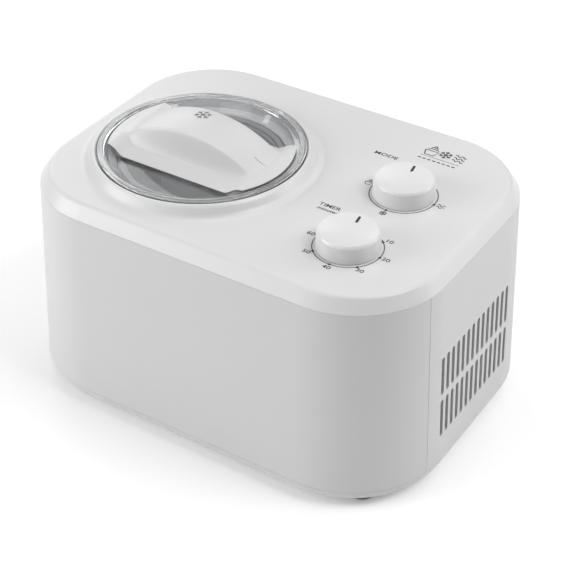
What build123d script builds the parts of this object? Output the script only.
from build123d import *
import os
from math import acos, atan, cos, degrees, pi, radians, sin, tan

# Countertop frozen-yogurt maker with its own cooling circuit. Millimetres, +Z up.
# Origin: on the worktop, under the middle of the casing. +X right, +Y to the back.

os.makedirs("parts", exist_ok=True)

# ---------------------------------------------------------------- driving dimensions
LENGTH, DEPTH, CORNER = 370.0, 270.6, 79.0   # casing outline at the top of its walls
SPREAD = 7.2                                 # how far each wall leans out down to the pan
FOOT_H, PAN_H, WALL_H = 6.5, 11.0, 182.8     # foot, pan rim, pan bottom to parting line
BEVEL_H, BEVEL_IN = 11.5, 8.2                # bevelled edge of the top cover
WALL, GAP = 2.5, 0.4                         # shell thickness, visible seam

PAN_Z = FOOT_H
SHELL_Z = PAN_Z + PAN_H
PARTING_Z = PAN_Z + WALL_H
TOP_Z = PARTING_Z + BEVEL_H
DRAFT = degrees(atan(SPREAD / WALL_H))
BEVEL = degrees(atan(BEVEL_IN / BEVEL_H))
FLOOR_Z = PAN_Z + 5.5                        # inner floor of the pan
SEAM_Y = 74.3                                # front and rear ends of the side panels

FOOT_X, FOOT_Y, FOOT_R = 147.0, 105.0, 13.0
POST_X, POST_Y = 155.0, 88.0                 # long screws that clamp cover, shells and pan

LID_X, LID_Y = -66.3, -15.2                  # axis of lid, bowl, paddle and spindle
RING_Z = TOP_Z + 10.5                        # top of the lid's ring
RING_R, RING_IN, DISH_R, DISH_FLOOR_R = 88.1, 82.0, 78.0, 72.0
DISH_DEPTH = 9.3
COLLAR_R = 100.2
SHELF_Z = RING_Z - 12.3
RIDGE_TOP, RIDGE_BASE_W = RING_Z + 20.2, 28.0
ARCH_R = 105.0

BOWL_R, BOWL_RIM_R = 65.5, 71.0
BOWL_Z, BOWL_TOP = 77.0, 197.0
TUBE_R, TUBE_H = 11.0, 48.0                  # tube in the middle of the bowl
DRUM_IN = 66.2
COIL_R, COIL_TUBE, COIL_PITCH, COIL_TURNS = 71.6, 3.5, 16.0, 6
COIL_Z = 85.0
PORT_ANGLE = 0.0                             # direction in which the coil's ends leave the foam

KNOBS = {"time": (104.6, -64.3), "menu": (104.6, 23.5)}
KNOB_R, KNOB_H, KNOB_GAP = 25.5, 15.6, 0.5
KNOB_RIM_R, KNOB_HOLLOW = 23.6, 2.4          # rim and depth of the knob's dished top
POINTER_IN, POINTER_OUT, POINTER_W = 13.4, 20.6, 2.2
SHAFT_R = 3.0

VENT_PITCH, VENT_W, VENT_L, VENT_COUNT = 8.66, 4.7, 37.0, 14
VENT_Y, VENT_ROWS = 1.5, (53.5, 96.0)        # middle of the rows, heights above the pan

OUT_TEETH, OUT_MODULE = (60, 15), 1.5        # output gear and idler pinion
IN_TEETH, IN_MODULE = (80, 16), 1.0          # idler wheel and motor pinion
TRAIN_ANGLE = -31.0
GEAR_Z, GEAR_T = 44.0, 6.0

FAN_Y, FAN_Z, FAN_R = 1.5, 85.0, 40.0
COND_X, COND_PITCH, COND_RUNS = 170.0, 20.0, 5
COMP_X, COMP_Y, COMP_R = 80.0, 78.0, 46.0
GLAND_X, GLAND_Z = 120.0, 36.0
BOARD_Z, BOARD_T = 155.0, 1.6
BOARD_POSTS = [(48, -86), (134, -86), (48, 29), (134, 29)]

TRAIN = Vector(cos(radians(TRAIN_ANGLE)), sin(radians(TRAIN_ANGLE)), 0)
CENTRE = Vector(LID_X, LID_Y, 0)
IDLER = CENTRE + TRAIN * (sum(OUT_TEETH) * OUT_MODULE / 2)
MOTOR = IDLER + TRAIN * (sum(IN_TEETH) * IN_MODULE / 2)


def keep(piece, label):
    """Names a finished piece and writes its file."""
    piece.part.label = label
    export_step(piece.part, f"parts/{label}.step")


def spread(z):
    """How far the wall stands outside its top outline at height z."""
    return SPREAD * (PARTING_Z - z) / WALL_H


def casing_outline(z, inset):
    """The casing's rounded rectangle at height z, moved in by inset."""
    out = spread(z) - inset
    RectangleRounded(LENGTH + 2 * out, DEPTH + 2 * out, CORNER + out)


def drafted(z, height, inset, mode=Mode.ADD):
    """A block of the casing's drafted shape from z upwards, moved in by inset."""
    with BuildSketch(Plane.XY.offset(z)) as outline:
        casing_outline(z, inset)
    extrude(outline.sketch, amount=height, taper=DRAFT, mode=mode)


def wall_ring(z, height, outer_inset, inner_inset):
    """The stretch of drafted wall between two insets, as a solid of its own."""
    with BuildPart() as ring:
        drafted(z, height, outer_inset)
        drafted(z, height, inner_inset, Mode.SUBTRACT)
    return ring.part


def at(point, z, angle=0):
    """Horizontal plane through a plan position, its X axis turned by angle."""
    x, y = tuple(point)[:2]
    return Plane((x, y, z), x_dir=(cos(radians(angle)), sin(radians(angle)), 0))


def disc(plane, radius, height, mode=Mode.ADD):
    """A round block standing on a plane, added to the part being built."""
    with BuildSketch(plane) as face:
        Circle(radius)
    extrude(face.sketch, amount=height, mode=mode)


def corners(x, y):
    """The four plan positions at plus and minus x and y."""
    return [(x, y), (-x, y), (x, -y), (-x, -y)]


# ---------------------------------------------------------------- casing walls
WALLS = wall_ring(SHELL_Z + GAP / 2, PARTING_Z - SHELL_Z - GAP, 0, WALL)


def slice_block(y0, y1, x0, x1):
    """A tall block used to take one stretch out of the wall."""
    with BuildPart() as block:
        with BuildSketch(Plane.XY):
            with Locations(((x0 + x1) / 2, (y0 + y1) / 2)):
                Rectangle(x1 - x0, y1 - y0)
        extrude(amount=TOP_Z)
    return block.part


with BuildPart() as front_shell:
    add(WALLS)
    add(slice_block(-200, -SEAM_Y - GAP / 2, -250, 250), mode=Mode.INTERSECT)
keep(front_shell, "front_shell")

with BuildPart() as rear_shell:
    add(WALLS)
    add(slice_block(SEAM_Y + GAP / 2, 200, -250, 250), mode=Mode.INTERSECT)
    disc(Plane((GLAND_X, 120, GLAND_Z), z_dir=(0, 1, 0)), 8.2, 40, Mode.SUBTRACT)
keep(rear_shell, "rear_shell")


def side_panel(side):
    """Side wall with its two rows of upright air slots; side is +1 right, -1 left."""
    x0, x1 = sorted((side * 100, side * 250))
    with BuildPart() as panel:
        add(WALLS)
        add(slice_block(-SEAM_Y + GAP / 2, SEAM_Y - GAP / 2, x0, x1), mode=Mode.INTERSECT)
        for height in VENT_ROWS:
            with BuildSketch(Plane.YZ.offset(side * 150)):
                with Locations((VENT_Y, PAN_Z + height)):
                    with GridLocations(VENT_PITCH, 1, VENT_COUNT, 1):
                        SlotOverall(VENT_L, VENT_W, rotation=90)
            extrude(amount=side * 60, mode=Mode.SUBTRACT)
    return panel


right_side_panel = side_panel(1)
keep(right_side_panel, "right_side_panel")
left_side_panel = side_panel(-1)
keep(left_side_panel, "left_side_panel")

# ---------------------------------------------------------------- base pan
GEAR_POSTS = [CENTRE + Vector(60, 0, 0).rotate(Axis.Z, a) for a in (75, 165, 255)]
GEAR_POSTS.append(MOTOR + TRAIN * 36)
COMP_FEET = [(COMP_X + dx, COMP_Y + dy) for dx, dy in corners(48, 30)]
ARCH_DROP, ARCH_CHORD = 2.4, 250.0

with BuildPart() as base_pan:
    drafted(PAN_Z, PAN_H, 0)
    fillet(base_pan.faces().sort_by(Axis.Z)[0].edges(), 10)
    drafted(PAN_Z, 3, 14, Mode.SUBTRACT)
    drafted(FLOOR_Z, PAN_H, WALL, Mode.SUBTRACT)
    # locating lip that stands up inside the shells, with a web that ties it to the rim
    add(wall_ring(SHELL_Z - 3, 8, WALL + 0.3, WALL + 2.3))
    add(wall_ring(SHELL_Z - 3, 2.5, WALL - 0.5, WALL + 1))
    # the skirt is arched a little between the corners
    arch_radius = (ARCH_CHORD ** 2 / 4 + ARCH_DROP ** 2) / (2 * ARCH_DROP)
    for turn, chord in ((0, ARCH_CHORD), (90, ARCH_CHORD * 0.62)):
        drop = ARCH_DROP * (chord / ARCH_CHORD) ** 2
        with BuildSketch(Plane.XZ.rotated((0, 0, turn)).offset(-250)):
            with Locations((0, PAN_Z + drop - arch_radius)):
                Circle(arch_radius)
            with Locations((0, PAN_Z - arch_radius)):
                Rectangle(6 * arch_radius, 2 * arch_radius, mode=Mode.SUBTRACT)
        extrude(amount=500, mode=Mode.SUBTRACT)
    # seats for the feet, bosses for feet, long screws, gearbox and compressor
    for x, y in corners(FOOT_X, FOOT_Y):
        disc(at((x, y), PAN_Z - 1), FOOT_R + 0.5, 4, Mode.SUBTRACT)
    for x, y in corners(FOOT_X, FOOT_Y):
        disc(at((x, y), FLOOR_Z - 1), 6, 12)
    for x, y in corners(POST_X, POST_Y):
        disc(at((x, y), FLOOR_Z - 1), 6, 7)
    for point in GEAR_POSTS:
        disc(at((point.X, point.Y), FLOOR_Z - 1), 5, GEAR_Z - 4.3 - FLOOR_Z + 1)
    for point in COMP_FEET:
        disc(at(point, FLOOR_Z - 1), 6, 9)
    for x, y in corners(FOOT_X, FOOT_Y) + corners(POST_X, POST_Y) + COMP_FEET:
        disc(at((x, y), PAN_Z - 1), 2.0, 30, Mode.SUBTRACT)
    for x, y in corners(POST_X, POST_Y):
        disc(at((x, y), PAN_Z - 1), 4.6, 5.5, Mode.SUBTRACT)
    for point in GEAR_POSTS:
        disc(at((point.X, point.Y), PAN_Z - 1), 1.6, 40, Mode.SUBTRACT)
keep(base_pan, "base_pan")

for index, (x, y) in enumerate(corners(FOOT_X, FOOT_Y)):
    with BuildPart() as foot:
        disc(at((x, y), 0), FOOT_R - 0.8, FOOT_H + 2.9)
        with BuildSketch(at((x, y), 1.5)):
            Circle(FOOT_R)
        extrude(amount=FOOT_H - 2.5)
        chamfer(foot.edges().group_by(Axis.Z)[0], 1.0)
        disc(at((x, y), -1), 4.6, 5, Mode.SUBTRACT)
        disc(at((x, y), -1), 2.3, 20, Mode.SUBTRACT)
    keep(foot, f"foot_{('rear' if y > 0 else 'front')}_{('right' if x > 0 else 'left')}")


def screws(points, z_head, z_tip, head_r, shank_r, head_h, label):
    """Pan-head screws pointing up (z_tip above z_head) or down, as one node."""
    up = 1 if z_tip > z_head else -1
    with BuildPart() as group:
        for point in points:
            foot_of_head = z_head - up * head_h
            disc(at(point, min(z_head, foot_of_head)), head_r, head_h)
            disc(at(point, min(z_head, z_tip)), shank_r, abs(z_tip - z_head))
            disc(at(point, foot_of_head if up > 0 else foot_of_head - 1.0), 1.3, 1.0, Mode.SUBTRACT)
    keep(group, label)


screws(corners(FOOT_X, FOOT_Y), 4.0, 20.0, 4.2, 1.9, 2.6, "foot_screws")
screws(corners(POST_X, POST_Y), PAN_Z + 4.4, 192.0, 4.2, 1.9, 2.6, "casing_screws")

# ---------------------------------------------------------------- top cover
COVER_T = 2.7
with BuildPart() as top_cover:
    with BuildSketch(Plane.XY.offset(PARTING_Z)):
        RectangleRounded(LENGTH, DEPTH, CORNER)
    extrude(amount=BEVEL_H, taper=BEVEL)
    fillet(top_cover.faces().sort_by(Axis.Z)[-1].edges(), 5)
    with BuildSketch(Plane.XY.offset(PARTING_Z)):
        RectangleRounded(LENGTH - 5.2, DEPTH - 5.2, CORNER - 2.6)
    extrude(amount=BEVEL_H - COVER_T, taper=BEVEL, mode=Mode.SUBTRACT)
    with BuildSketch(Plane.XY.offset(PARTING_Z - 6)):
        RectangleRounded(LENGTH - 5.8, DEPTH - 5.8, CORNER - 2.9)
        RectangleRounded(LENGTH - 9.6, DEPTH - 9.6, CORNER - 4.8, mode=Mode.SUBTRACT)
    extrude(amount=9)
    # raised collar round the lid and the shelf under it
    with BuildSketch(Plane((LID_X, LID_Y, 0), x_dir=(1, 0, 0), z_dir=(0, -1, 0))) as collar:
        with BuildLine():
            l1 = Polyline((RING_R + 0.5, SHELF_Z), (RING_R + 0.5, RING_Z - 1.6),
                          (RING_R + 1.4, RING_Z - 0.5), (RING_R + 2.6, RING_Z - 0.7))
            l2 = Spline(l1 @ 1, (COLLAR_R - 4.2, TOP_Z + 2.7), (COLLAR_R + 2.5, TOP_Z),
                        tangents=((0.8, -0.45), (1, 0)))
            Polyline(l2 @ 1, (COLLAR_R + 5.0, TOP_Z), (COLLAR_R + 5.0, TOP_Z - COVER_T),
                     (RING_R + 4.0, TOP_Z - COVER_T),
                     (RING_R + 4.0, SHELF_Z - COVER_T), (BOWL_RIM_R + 1.2, SHELF_Z - COVER_T),
                     (BOWL_RIM_R + 1.2, SHELF_Z), l1 @ 0)
        make_face()
    disc(at((LID_X, LID_Y), SHELF_Z - 10), RING_R + 2.0, 40, Mode.SUBTRACT)
    revolve(collar.sketch, axis=Axis((LID_X, LID_Y, 0), (0, 0, 1)))
    for x, y in KNOBS.values():
        disc(at((x, y), PARTING_Z), SHAFT_R + 1.2, 20, Mode.SUBTRACT)
    for x, y in corners(POST_X, POST_Y):
        disc(at((x, y), FLOOR_Z + 6.3), 5, TOP_Z - COVER_T - FLOOR_Z - 6.0)
        disc(at((x, y), FLOOR_Z), 2.0, 182, Mode.SUBTRACT)
    for point in BOARD_POSTS:
        disc(at(point, BOARD_Z + BOARD_T + 0.6), 3, TOP_Z - COVER_T - BOARD_Z - BOARD_T - 0.4)
keep(top_cover, "top_cover")

# ---------------------------------------------------------------- lid
with BuildPart() as lid_dish:
    with BuildSketch(Plane((LID_X, LID_Y, 0), x_dir=(1, 0, 0), z_dir=(0, -1, 0))):
        with BuildLine():
            Polyline((0, RING_Z - DISH_DEPTH), (DISH_FLOOR_R, RING_Z - DISH_DEPTH),
                     (DISH_R, RING_Z - 2.2), (RING_IN, RING_Z - 1.4), (RING_IN + 0.8, RING_Z),
                     (RING_R - 0.8, RING_Z), (RING_R, RING_Z - 0.8), (RING_R, RING_Z - 11.8),
                     (RING_R - 2.4, RING_Z - 11.8), (RING_R - 2.4, RING_Z - 3.4),
                     (DISH_R + 1.6, RING_Z - 4.4), (DISH_FLOOR_R + 1.2, RING_Z - DISH_DEPTH - 2.4),
                     (0, RING_Z - DISH_DEPTH - 2.4), (0, RING_Z - DISH_DEPTH))
        make_face()
    revolve(axis=Axis((LID_X, LID_Y, 0), (0, 0, 1)))
    for x in (-34, 34):
        disc(at((LID_X + x, LID_Y), RING_Z - 20), 2.0, 14, Mode.SUBTRACT)
keep(lid_dish, "lid_dish")

HANDLE_Z = RING_Z - DISH_DEPTH + 0.05
LEDGE_Z = RING_Z - 5.6
END_R, END_SPAN, NECK_X, NECK_Y = 76.6, 31.0, 53.0, 42.0


def handle_plan():
    """Bow-tie plan of the handle: round ends on the dish wall, straight long edges."""
    tip_x = END_R * cos(radians(END_SPAN))
    tip_y = END_R * sin(radians(END_SPAN))
    with BuildLine() as outline:
        ThreePointArc((tip_x, -tip_y), (END_R, 0), (tip_x, tip_y))
        Polyline((tip_x, tip_y), (NECK_X, NECK_Y), (-NECK_X, NECK_Y), (-tip_x, tip_y))
        ThreePointArc((-tip_x, tip_y), (-END_R, 0), (-tip_x, -tip_y))
        Polyline((-tip_x, -tip_y), (-NECK_X, -NECK_Y), (NECK_X, -NECK_Y), (tip_x, -tip_y))
    make_face(outline.edges())


with BuildPart() as ridge:
    # arched bridge with a concave flank on each side
    with BuildSketch(Plane((LID_X, LID_Y, 0), x_dir=(1, 0, 0), z_dir=(0, -1, 0))):
        with Locations((0, RIDGE_TOP - ARCH_R)):
            Circle(ARCH_R)
        with Locations((0, LEDGE_Z - 1 - ARCH_R * 2)):
            Rectangle(ARCH_R * 4, ARCH_R * 4, mode=Mode.SUBTRACT)
    extrude(amount=RIDGE_BASE_W, both=True)
    for side in (-1, 1):
        with BuildSketch(Plane((LID_X, LID_Y, RING_Z + 16.2), x_dir=(0, side, 0), z_dir=(side, 0, 0))):
            with Locations((47.9, 0)):
                Circle(28.2)
        extrude(amount=120, both=True, mode=Mode.SUBTRACT)

with BuildPart() as lid_handle:
    with BuildSketch(at((LID_X, LID_Y), HANDLE_Z)):
        handle_plan()
    extrude(amount=RIDGE_TOP - HANDLE_Z)
    # everything above the ledge, the rising end pads and the ridge is cut away
    with BuildSketch(Plane((LID_X, LID_Y, 0), x_dir=(1, 0, 0), z_dir=(0, -1, 0))):
        with BuildLine():
            Polyline((-90, RING_Z - 0.6), (-66, RING_Z - 0.8), (-52, LEDGE_Z), (52, LEDGE_Z),
                     (66, RING_Z - 0.8), (90, RING_Z - 0.6), (90, 300), (-90, 300),
                     (-90, RING_Z - 0.6))
        make_face()
    extrude(amount=60, both=True, mode=Mode.SUBTRACT)
    with BuildSketch(at((LID_X, LID_Y), HANDLE_Z), mode=Mode.PRIVATE) as plan:
        handle_plan()
    add(ridge.part.intersect(extrude(plan.sketch, amount=60, mode=Mode.PRIVATE)))
    # the end arcs follow the sloping wall of the dish
    slope = degrees(atan((DISH_R - DISH_FLOOR_R) / (DISH_DEPTH - 2.2)))
    with BuildSketch(at((LID_X, LID_Y), HANDLE_Z)):
        Circle(DISH_FLOOR_R - 0.4)
    cone = extrude(amount=DISH_DEPTH - 2.2, taper=-slope, mode=Mode.PRIVATE)
    with BuildPart(mode=Mode.PRIVATE) as envelope:
        add(cone)
        disc(at((LID_X, LID_Y), HANDLE_Z + DISH_DEPTH - 2.25), END_R + 1, 40)
    add(envelope.part, mode=Mode.INTERSECT)
    for x in (-34, 34):
        disc(at((LID_X + x, LID_Y), HANDLE_Z - 1), 1.7, 9, Mode.SUBTRACT)
keep(lid_handle, "lid_handle")

with BuildPart() as lid_seal:
    with BuildSketch(Plane((LID_X, LID_Y, 0), x_dir=(1, 0, 0), z_dir=(0, -1, 0))):
        with Locations((67.6, (BOWL_TOP + 0.1 + RING_Z - DISH_DEPTH - 2.5) / 2)):
            RectangleRounded(5.0, RING_Z - DISH_DEPTH - 2.6 - BOWL_TOP, 0.8)
    revolve(axis=Axis((LID_X, LID_Y, 0), (0, 0, 1)))
keep(lid_seal, "lid_seal")

screws([(LID_X - 34, LID_Y), (LID_X + 34, LID_Y)], RING_Z - DISH_DEPTH - 2.5,
       HANDLE_Z + 6, 3.6, 1.6, 1.6, "lid_screws")


def turned(points):
    """Solid of revolution about the lid's axis from an outline of (radius, height)."""
    with BuildSketch(Plane((LID_X, LID_Y, 0), x_dir=(1, 0, 0), z_dir=(0, -1, 0))) as section:
        with BuildLine():
            Polyline(*points, close=True)
        make_face()
    revolve(section.sketch, axis=Axis((LID_X, LID_Y, 0), (0, 0, 1)))


# ---------------------------------------------------------------- bowl, paddle, drum
with BuildPart() as bowl:
    turned([(TUBE_R - 2, BOWL_Z), (BOWL_R, BOWL_Z), (BOWL_R, BOWL_TOP - 2),
            (BOWL_RIM_R, BOWL_TOP - 2), (BOWL_RIM_R, BOWL_TOP), (BOWL_R - 1.5, BOWL_TOP),
            (BOWL_R - 1.5, BOWL_Z + 5), (BOWL_R - 4.5, BOWL_Z + 2), (TUBE_R, BOWL_Z + 2),
            (TUBE_R, BOWL_Z + TUBE_H), (TUBE_R - 2, BOWL_Z + TUBE_H)])
keep(bowl, "bowl")

HUB_R, HUB_TOP = 15.0, BOWL_Z + TUBE_H + 22
SQUARE = 8.0
with BuildPart() as paddle:
    disc(at((LID_X, LID_Y), BOWL_Z + 3.2), HUB_R, HUB_TOP - BOWL_Z - 3.2)
    fillet(paddle.edges().sort_by(Axis.Z)[-1], 4)
    for side in (1, -1):
        # bottom arm and tall wall blade, leaning like a scraper
        with BuildSketch(Plane((LID_X, LID_Y, BOWL_Z + 3.2), x_dir=(side, 0, 0), z_dir=(0, 0, 1))):
            with Locations((HUB_R + 20, 0)):
                Rectangle(50, 5)
        extrude(amount=10)
        with BuildSketch(Plane((LID_X, LID_Y, BOWL_Z + 6), x_dir=(side, 0, 0), z_dir=(0, 0, 1))):
            with Locations((BOWL_R - 10.5, 0)):
                Rectangle(14, 5, rotation=35)
        extrude(amount=95)
        with BuildSketch(Plane((LID_X, LID_Y, HUB_TOP - 14), x_dir=(side, 0, 0), z_dir=(0, 0, 1))):
            with Locations((HUB_R + 18, 0)):
                Rectangle(44, 5)
        extrude(amount=9)
    disc(at((LID_X, LID_Y), BOWL_Z), TUBE_R + 0.8, TUBE_H + 1.2, Mode.SUBTRACT)
    with BuildSketch(at((LID_X, LID_Y), BOWL_Z + TUBE_H)):
        Rectangle(SQUARE + 0.6, SQUARE + 0.6)
    extrude(amount=15, mode=Mode.SUBTRACT)
keep(paddle, "paddle")

DRUM_Z, DRUM_TOP = 74.0, BOWL_TOP - 2.3
with BuildPart() as evaporator_drum:
    turned([(14.2, DRUM_Z), (DRUM_IN + 1.5, DRUM_Z), (DRUM_IN + 1.5, DRUM_TOP - 1.5),
            (84, DRUM_TOP - 1.5), (84, DRUM_TOP), (DRUM_IN, DRUM_TOP), (DRUM_IN, DRUM_Z + 1.5),
            (14.2, DRUM_Z + 1.5)])
keep(evaporator_drum, "evaporator_drum")

with BuildPart() as evaporator_coil:
    with BuildLine(at(CENTRE, COIL_Z, PORT_ANGLE)) as winding:
        Helix(pitch=COIL_PITCH, height=COIL_PITCH * COIL_TURNS, radius=COIL_R)
    with BuildSketch(Plane(origin=winding.line @ 0, z_dir=winding.line % 0)):
        Circle(COIL_TUBE)
    sweep(is_frenet=True)
keep(evaporator_coil, "evaporator_coil")

FOAM_IN, FOAM_OUT = COIL_R + COIL_TUBE + 0.6, 93.0
with BuildPart() as foam_jacket:
    turned([(FOAM_IN, DRUM_Z), (FOAM_OUT, DRUM_Z), (FOAM_OUT, DRUM_TOP - 1.7),
            (FOAM_IN, DRUM_TOP - 1.7)])
    with BuildSketch(at(CENTRE, DRUM_Z, PORT_ANGLE)):
        with Locations((85, 0)):
            Rectangle(40, 40)
    extrude(amount=200, mode=Mode.SUBTRACT)
keep(foam_jacket, "foam_jacket")

with BuildPart() as foam_base:
    turned([(16, DRUM_Z - 10), (FOAM_OUT, DRUM_Z - 10), (FOAM_OUT, DRUM_Z - 0.2),
            (16, DRUM_Z - 0.2)])
keep(foam_base, "foam_base")


# ---------------------------------------------------------------- gear drive
def involute(angle):
    """Involute function of a pressure angle in radians."""
    return tan(angle) - angle


def gear_outline(teeth, module, shift):
    """Closed spur gear outline; shift turns it by a share of one tooth pitch."""
    pitch_r = teeth * module / 2
    base_r = pitch_r * cos(radians(20))
    tip_r, root_r = pitch_r + 0.95 * module, pitch_r - 1.2 * module
    half = pi / (2 * teeth) - 0.09 * module / pitch_r
    points = []
    for tooth in range(teeth):
        middle = 2 * pi * (tooth + shift) / teeth
        flank = []
        for radius in (root_r, max(base_r, root_r + 0.1), pitch_r, tip_r):
            turn = involute(acos(min(1.0, base_r / radius))) if radius > base_r else 0.0
            flank.append((radius, half + involute(radians(20)) - turn))
        for radius, offset in flank:
            points.append((radius * cos(middle - offset), radius * sin(middle - offset)))
        for radius, offset in reversed(flank):
            points.append((radius * cos(middle + offset), radius * sin(middle + offset)))
    return points


def spur(centre, z, teeth, module, shift, thickness):
    """Adds a spur gear standing on height z, its tooth line facing along the train."""
    with BuildSketch(at(centre, z, TRAIN_ANGLE)) as blank:
        with BuildLine():
            Polyline(*gear_outline(teeth, module, shift), close=True)
        make_face()
    extrude(blank.sketch, amount=thickness)


SPINDLE_R, BUSH_R = 5.0, 8.0
with BuildPart() as output_gear:
    spur(CENTRE, GEAR_Z, OUT_TEETH[0], OUT_MODULE, 0.0, GEAR_T)
    disc(at(CENTRE, GEAR_Z), 11, GEAR_T + 4)
    disc(at(CENTRE, GEAR_Z - 1), SPINDLE_R + 0.01, 20, Mode.SUBTRACT)
    for hole in range(6):
        spoke = CENTRE + Vector(28, 0, 0).rotate(Axis.Z, 60 * hole)
        disc(at(spoke, GEAR_Z), 9, GEAR_T, Mode.SUBTRACT)
keep(output_gear, "output_gear")

with BuildPart() as spindle:
    disc(at(CENTRE, 34.5), SPINDLE_R, BOWL_Z + TUBE_H - 34.5)
    with BuildSketch(at(CENTRE, BOWL_Z + TUBE_H)):
        Rectangle(SQUARE, SQUARE)
        Circle(SPINDLE_R, mode=Mode.INTERSECT)
    extrude(amount=13)
keep(spindle, "spindle")

IDLER_BORE = 3.0
with BuildPart() as idler_gear:
    # the wheel runs above the output gear, its pinion in the same plane as the output gear
    spur(IDLER, GEAR_Z, OUT_TEETH[1], OUT_MODULE, 0.0, GEAR_T + 0.8)
    spur(IDLER, GEAR_Z + GEAR_T + 0.8, IN_TEETH[0], IN_MODULE, 0.5, 4)
    disc(at(IDLER, GEAR_Z - 1), IDLER_BORE + 0.05, 20, Mode.SUBTRACT)
keep(idler_gear, "idler_gear")

with BuildPart() as idler_axle:
    disc(at(IDLER, GEAR_Z - 3.9), IDLER_BORE, 19)
keep(idler_axle, "idler_axle")

GEARBOX_Z, GEARBOX_TOP = GEAR_Z - 4.0, GEAR_Z + 13.5


def gearbox_plan(grow, lugs):
    """Plan of the gearbox: the gears' circles and the lugs pulled into one outline."""
    rounds = [(CENTRE, 46.5 + grow), (IDLER, 41.0 + grow), (MOTOR, 9.0 + grow)]
    rounds += [(post, 6.5) for post in GEAR_POSTS] if lugs else []
    for point, radius in rounds:
        with Locations((point.X, point.Y)):
            Circle(radius)
    make_hull()


with BuildPart() as gearbox_base:
    with BuildSketch(Plane.XY.offset(GEARBOX_Z)):
        gearbox_plan(2.5, True)
    extrude(amount=3)
    disc(at(CENTRE, GEARBOX_Z - 6), BUSH_R + 3, 7)
    disc(at(CENTRE, GEARBOX_Z - 10), BUSH_R, 20, Mode.SUBTRACT)
    disc(at(IDLER, GEARBOX_Z - 1), IDLER_BORE, 10, Mode.SUBTRACT)
    disc(at(MOTOR, GEARBOX_Z - 1), 6, 10, Mode.SUBTRACT)
    for post in GEAR_POSTS:
        disc(at(post, GEARBOX_Z - 1), 2.0, 10, Mode.SUBTRACT)
keep(gearbox_base, "gearbox_base")

with BuildPart() as gearbox_cover:
    with BuildSketch(Plane.XY.offset(GEARBOX_Z + 3.1)):
        gearbox_plan(2.5, True)
    extrude(amount=GEARBOX_TOP - GEARBOX_Z - 3.1 + 2)
    with BuildSketch(Plane.XY.offset(GEARBOX_Z + 3.1)):
        gearbox_plan(0, False)
    extrude(amount=GEARBOX_TOP - GEARBOX_Z - 3.1, mode=Mode.SUBTRACT)
    disc(at(CENTRE, GEARBOX_TOP), BUSH_R + 3, DRUM_Z + 2 - GEARBOX_TOP)
    disc(at(CENTRE, GEARBOX_TOP - 1), BUSH_R, 40, Mode.SUBTRACT)
    disc(at(IDLER, GEARBOX_TOP - 1), IDLER_BORE + 0.02, 10, Mode.SUBTRACT)
    for post in GEAR_POSTS:
        disc(at(post, GEARBOX_Z), 2.0, 40, Mode.SUBTRACT)
keep(gearbox_cover, "gearbox_cover")

screws(GEAR_POSTS, GEARBOX_TOP + 2.1, 26.0, 4.0, 1.5, 2.4, "gearbox_screws")

for label, z0, z1 in (("lower_bush", GEARBOX_Z - 5.8, GEARBOX_Z + 3.0),
                      ("upper_bush", GEARBOX_TOP + 2.0, DRUM_Z + 1.8)):
    with BuildPart() as bush:
        disc(at(CENTRE, z0), BUSH_R - 0.02, z1 - z0)
        disc(at(CENTRE, z0 - 1), SPINDLE_R + 0.04, z1 - z0 + 2, Mode.SUBTRACT)
    keep(bush, label)

MOTOR_R, MOTOR_SHAFT_R, MOTOR_Z = 30.0, 2.5, 15.5
with BuildPart() as motor_can:
    disc(at(MOTOR, MOTOR_Z), MOTOR_R, GEARBOX_Z - 0.1 - MOTOR_Z)
    fillet(motor_can.edges().group_by(Axis.Z)[0], 2)
    disc(at(MOTOR, MOTOR_Z + 2), MOTOR_R - 9, GEARBOX_Z - MOTOR_Z - 4.1, Mode.SUBTRACT)
    disc(at(MOTOR, MOTOR_Z + 0.8), MOTOR_SHAFT_R + 0.05, 60, Mode.SUBTRACT)
keep(motor_can, "motor_can")

with BuildPart() as motor_rotor:
    disc(at(MOTOR, MOTOR_Z + 3), MOTOR_R - 9.5, GEARBOX_Z - MOTOR_Z - 6.2)
    disc(at(MOTOR, MOTOR_Z + 1), MOTOR_SHAFT_R, GEAR_Z + GEAR_T + 5.2 - MOTOR_Z - 1)
keep(motor_rotor, "motor_rotor")

with BuildPart() as motor_pinion:
    spur(MOTOR, GEAR_Z + GEAR_T + 0.2, IN_TEETH[1], IN_MODULE, 0.0, 5)
    disc(at(MOTOR, GEAR_Z), MOTOR_SHAFT_R + 0.01, 20, Mode.SUBTRACT)
keep(motor_pinion, "motor_pinion")

# ---------------------------------------------------------------- compressor
MOUNT_Z = FLOOR_Z + 12.0
with BuildPart() as compressor_plate:
    with BuildSketch(Plane.XY.offset(MOUNT_Z)):
        with Locations((COMP_X, COMP_Y)):
            RectangleRounded(112, 74, 10)
    extrude(amount=3)
    for point in COMP_FEET:
        disc(at(point, MOUNT_Z - 1), 5.2, 10, Mode.SUBTRACT)
keep(compressor_plate, "compressor_plate")

with BuildPart() as compressor_grommets:
    for point in COMP_FEET:
        disc(at(point, FLOOR_Z + 8.2), 8, MOUNT_Z - FLOOR_Z - 8.3)
        disc(at(point, FLOOR_Z + 8.2), 5.0, MOUNT_Z - FLOOR_Z - 4)
        disc(at(point, MOUNT_Z + 3.1), 8, 3)
        disc(at(point, FLOOR_Z), 2.2, 40, Mode.SUBTRACT)
keep(compressor_grommets, "compressor_grommets")
screws(COMP_FEET, MOUNT_Z + 6.3, PAN_Z + 5, 5.5, 1.9, 3.0, "compressor_bolts")

SHELL_SPLIT, SHELL_TOP, STEEL = 88.0, 150.0, 3.0


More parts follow.
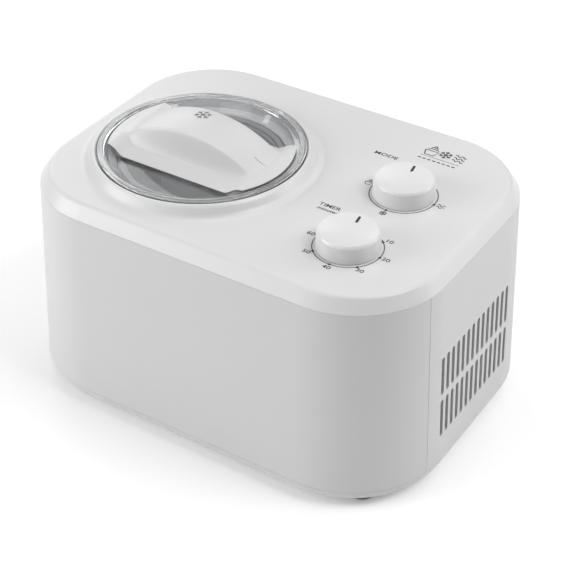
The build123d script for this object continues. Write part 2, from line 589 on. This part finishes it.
with BuildPart() as compressor_lower:
    disc(at((COMP_X, COMP_Y), MOUNT_Z + 3.1), COMP_R, SHELL_SPLIT - MOUNT_Z - 3.1)
    fillet(compressor_lower.edges().group_by(Axis.Z)[0], 16)
    disc(at((COMP_X, COMP_Y), MOUNT_Z + 3.1 + STEEL), COMP_R - STEEL - 6, 80, Mode.SUBTRACT)
keep(compressor_lower, "compressor_lower_shell")

with BuildPart() as compressor_upper:
    disc(at((COMP_X, COMP_Y), SHELL_SPLIT + 0.2), COMP_R + 1.5, 6)
    disc(at((COMP_X, COMP_Y), SHELL_SPLIT + 0.2), COMP_R - 1, SHELL_TOP - SHELL_SPLIT)
    fillet(compressor_upper.edges().group_by(Axis.Z)[-1], 24)
    disc(at((COMP_X, COMP_Y), SHELL_SPLIT), COMP_R - STEEL - 6, SHELL_TOP - SHELL_SPLIT - 12,
         Mode.SUBTRACT)
keep(compressor_upper, "compressor_upper_shell")

with BuildPart() as compressor_motor:
    disc(at((COMP_X, COMP_Y), MOUNT_Z + 8), COMP_R - 14, 62)
    disc(at((COMP_X, COMP_Y), MOUNT_Z + 70), 20, 30)
keep(compressor_motor, "compressor_motor")

# ---------------------------------------------------------------- fan and condenser
FAN_AXIS = Plane((0, FAN_Y, FAN_Z), x_dir=(0, 1, 0), z_dir=(1, 0, 0))
SHROUD_X, SHROUD_T, SHROUD_W = 130.0, 22.0, 96.0
with BuildPart() as fan_shroud:
    with BuildSketch(FAN_AXIS.offset(SHROUD_X)):
        RectangleRounded(SHROUD_W, SHROUD_W, 6)
        Circle(FAN_R + 2.5, mode=Mode.SUBTRACT)
    extrude(amount=SHROUD_T)
    with BuildSketch(FAN_AXIS.offset(SHROUD_X)):
        with PolarLocations(0, 3):
            with Locations((30, 0)):
                Rectangle(30, 5)
        Circle(17)
        Circle(14.2, mode=Mode.SUBTRACT)
    extrude(amount=3)
    # two legs down to the pan
    for y in (-30, 33):
        with BuildSketch(Plane((SHROUD_X + SHROUD_T / 2, y, FLOOR_Z + 0.2))):
            Rectangle(16, 12)
        extrude(amount=FAN_Z - SHROUD_W / 2 - FLOOR_Z + 1)
keep(fan_shroud, "fan_shroud")

with BuildPart() as fan_motor:
    with BuildSketch(FAN_AXIS.offset(SHROUD_X - 18)):
        Circle(14)
    extrude(amount=20.5)
    with BuildSketch(FAN_AXIS.offset(SHROUD_X - 12)):
        Circle(2.05)
    extrude(amount=30, mode=Mode.SUBTRACT)
keep(fan_motor, "fan_motor")

with BuildPart() as fan_rotor:
    with BuildSketch(FAN_AXIS.offset(SHROUD_X + 3.5)):
        Circle(13)
    extrude(amount=14)
    with BuildSketch(FAN_AXIS.offset(SHROUD_X - 11)):
        Circle(2.0)
    extrude(amount=20)
    for blade in range(7):
        turn = radians(blade * 360 / 7)
        middle = (SHROUD_X + 10.5, FAN_Y + 25.5 * cos(turn), FAN_Z + 25.5 * sin(turn))
        outward = (0, cos(turn), sin(turn))
        along = (0, -sin(turn), cos(turn))
        pitch = radians(35)
        chord = Vector(along) * cos(pitch) + Vector(1, 0, 0) * sin(pitch)
        with BuildSketch(Plane(middle, x_dir=chord, z_dir=outward)):
            RectangleRounded(16, 1.8, 0.8)
        extrude(amount=13.5, both=True)
keep(fan_rotor, "fan_rotor")

RUN_Y0, RUN_Y1, RUN_Z = -42.0, 45.0, 42.0
RUN_HEIGHTS = [RUN_Z + COND_PITCH * run for run in range(COND_RUNS)]
with BuildPart() as condenser_fins:
    with BuildSketch(Plane.XZ.offset(-RUN_Y0)):
        with Locations((COND_X, (RUN_HEIGHTS[0] + RUN_HEIGHTS[-1]) / 2)):
            Rectangle(20, COND_PITCH * COND_RUNS)
        for height in RUN_HEIGHTS:
            with Locations((COND_X, height)):
                Circle(3.55, mode=Mode.SUBTRACT)
    extrude(amount=-0.8)
    fin = condenser_fins.part
    count = 18
    for index in range(1, count):
        add(fin.moved(Location((0, index * (RUN_Y1 - RUN_Y0 - 0.8) / (count - 1), 0))))
keep(condenser_fins, "condenser_fins")

with BuildPart() as condenser_tube:
    with BuildLine() as serpentine:
        ends = [RUN_Y1 + 4, RUN_Y0 - 4]
        start = (COND_X, RUN_Y0 - 12, RUN_HEIGHTS[0])
        for run, height in enumerate(RUN_HEIGHTS):
            near, far = (ends[1], ends[0]) if run % 2 == 0 else (ends[0], ends[1])
            first = start if run == 0 else (COND_X, near, height)
            last = (COND_X, RUN_Y1 + 12, height) if run == COND_RUNS - 1 else (COND_X, far, height)
            Line(first, last)
            if run < COND_RUNS - 1:
                bulge = COND_PITCH / 2 if far > near else -COND_PITCH / 2
                ThreePointArc(last, (COND_X, far + bulge, height + COND_PITCH / 2),
                              (COND_X, far, height + COND_PITCH))
    with BuildSketch(Plane(origin=start, z_dir=(0, 1, 0))):
        Circle(3.5)
    sweep(path=serpentine.wire())
keep(condenser_tube, "condenser_tube")


def pipe(label, radius, bend, *points):
    """A tube along straight runs joined by bends of one radius."""
    with BuildPart() as tube:
        with BuildLine() as route:
            FilletPolyline(*points, radius=bend)
        with BuildSketch(Plane(origin=route.line @ 0, z_dir=route.line % 0)):
            Circle(radius)
        sweep()
    keep(tube, label)


OUTWARD = Vector(1, 0, 0).rotate(Axis.Z, PORT_ANGLE)
ALONG = Vector(0, 1, 0).rotate(Axis.Z, PORT_ANGLE)
COIL_END = CENTRE + OUTWARD * COIL_R + Vector(0, 0, COIL_Z + COIL_PITCH * COIL_TURNS)
COIL_START = CENTRE + OUTWARD * COIL_R + Vector(0, 0, COIL_Z)
DRIER_Y, DRIER_Z, DRIER_X0, DRIER_X1 = -48.0, 100.0, 52.0, 108.0

pipe("suction_line", 3.0, 6, COIL_END + ALONG * 0.4, COIL_END + ALONG * 9,
     COIL_END + ALONG * 9 + OUTWARD * 26, (14, 78, COIL_END.Z), (14, 78, 118),
     (COMP_X - COMP_R + 0.9, 78, 118))
pipe("discharge_line", 2.5, 7, (COMP_X + COMP_R - 0.9, 78, 112), (148, 78, 112),
     (COND_X, 78, RUN_HEIGHTS[-1]), (COND_X, RUN_Y1 + 12.2, RUN_HEIGHTS[-1]))
pipe("liquid_line", 2.5, 7, (COND_X, RUN_Y0 - 12.2, RUN_HEIGHTS[0]), (COND_X, -72, RUN_HEIGHTS[0]),
     (122, -72, RUN_HEIGHTS[0]), (122, DRIER_Y, DRIER_Z), (DRIER_X1 + 0.2, DRIER_Y, DRIER_Z))
pipe("capillary_tube", 1.0, 5, (DRIER_X0 - 0.2, DRIER_Y, DRIER_Z), (40, DRIER_Y, DRIER_Z),
     COIL_START - ALONG * 9 + OUTWARD * 34, COIL_START - ALONG * 9,
     COIL_START - ALONG * 0.4)

with BuildPart() as filter_drier:
    with BuildSketch(Plane((DRIER_X0, DRIER_Y, DRIER_Z), z_dir=(1, 0, 0))):
        Circle(9)
    extrude(amount=DRIER_X1 - DRIER_X0)
    chamfer(filter_drier.edges().group_by(Axis.X)[0], 6)
    chamfer(filter_drier.edges().group_by(Axis.X)[-1], 6)
keep(filter_drier, "filter_drier")

# ---------------------------------------------------------------- cord inlet
with BuildPart() as cord_gland:
    with BuildSketch(Plane((GLAND_X, 126, GLAND_Z), z_dir=(0, 1, 0))):
        Circle(8.0)
    extrude(amount=15.0)
    with BuildSketch(Plane((GLAND_X, 128, GLAND_Z), z_dir=(0, 1, 0))):
        Circle(11.0)
    extrude(amount=4.0)
    with BuildSketch(Plane((GLAND_X, 120, GLAND_Z), z_dir=(0, 1, 0))):
        Circle(3.6)
    extrude(amount=40, mode=Mode.SUBTRACT)
keep(cord_gland, "cord_gland")

# ---------------------------------------------------------------- controls
def dish_height(r):
    """Height of the knob's dished top over its base, r from the axis."""
    return KNOB_H - KNOB_HOLLOW * (1 - (r / KNOB_RIM_R) ** 2)


def pointer_bar(x, y, base, slack, mode):
    """The inlaid bar of the knob's top, with play all round for its pocket."""
    near, far, sunk = POINTER_IN - slack, POINTER_OUT + slack, KNOB_H - 3.0 - slack
    with BuildSketch(Plane((x, y, base), x_dir=(0, 1, 0), z_dir=(1, 0, 0))) as side_view:
        with BuildLine():
            Polyline((near, sunk), (far, sunk), (far, dish_height(far) + 20 * slack),
                     (near, dish_height(near) + 20 * slack), close=True)
        make_face()
    extrude(side_view.sketch, amount=POINTER_W / 2 + slack, both=True, mode=mode)


for name, (x, y) in KNOBS.items():
    base = TOP_Z + KNOB_GAP
    with BuildPart() as knob:
        with BuildSketch(Plane((x, y, base), x_dir=(1, 0, 0), z_dir=(0, -1, 0))):
            with BuildLine():
                flank = Line((KNOB_R, 0), (KNOB_R - 0.75, KNOB_H - 2.4))
                edge = ThreePointArc(flank @ 1, (KNOB_R - 1.2, KNOB_H - 0.7), (KNOB_RIM_R, KNOB_H))
                dish = Polyline(edge @ 1, (19, dish_height(19)), (13, dish_height(13)),
                                (6, dish_height(6)), (0, dish_height(6)))
                Polyline(dish @ 1, (0, 6), (SHAFT_R + 3, 6), (SHAFT_R + 3, 1), (SHAFT_R + 5, 1),
                         (SHAFT_R + 5, KNOB_H - 4.6), (KNOB_R - 5.5, KNOB_H - 4.6),
                         (KNOB_R - 2.6, 0), (KNOB_R, 0))
            make_face()
        revolve(axis=Axis((x, y, 0), (0, 0, 1)))
        disc(at((x, y), base - 1), SHAFT_R + 0.02, KNOB_H - 5, Mode.SUBTRACT)
        pointer_bar(x, y, base, 0.05, Mode.SUBTRACT)
    keep(knob, f"{name}_knob")
    with BuildPart() as pointer:
        pointer_bar(x, y, base, 0.0, Mode.ADD)
    keep(pointer, f"{name}_pointer")
    with BuildPart() as shaft:
        disc(at((x, y), TOP_Z - 18), SHAFT_R, KNOB_GAP + KNOB_H + 10)
    keep(shaft, f"{name}_shaft")
    with BuildPart() as body:
        with BuildSketch(at((x, y), TOP_Z - COVER_T - 30)):
            RectangleRounded(40, 40, 4)
        extrude(amount=26)
        disc(at((x, y), TOP_Z - COVER_T - 5), 8, 4.9)
        disc(at((x, y), TOP_Z - 18.2), SHAFT_R + 0.05, 40, Mode.SUBTRACT)
    keep(body, "timer_body" if name == "time" else "selector_body")

with BuildPart() as control_board:
    with BuildSketch(Plane.XY.offset(BOARD_Z)):
        with Locations((91, -28.5)):
            RectangleRounded(94, 123, 3)
        with Locations(BOARD_POSTS):
            Circle(1.6, mode=Mode.SUBTRACT)
    extrude(amount=BOARD_T)
    # transformer, relay and a smaller part soldered on the board: place, width, depth, height
    for x, y, width, depth, height in ((66, -20, 26, 22, 10), (104, -22, 16, 12, 9), (134, -20, 8, 14, 8)):
        with BuildSketch(Plane((x, y, BOARD_Z + BOARD_T))):
            RectangleRounded(width, depth, 1)
        extrude(amount=height)
keep(control_board, "control_board")
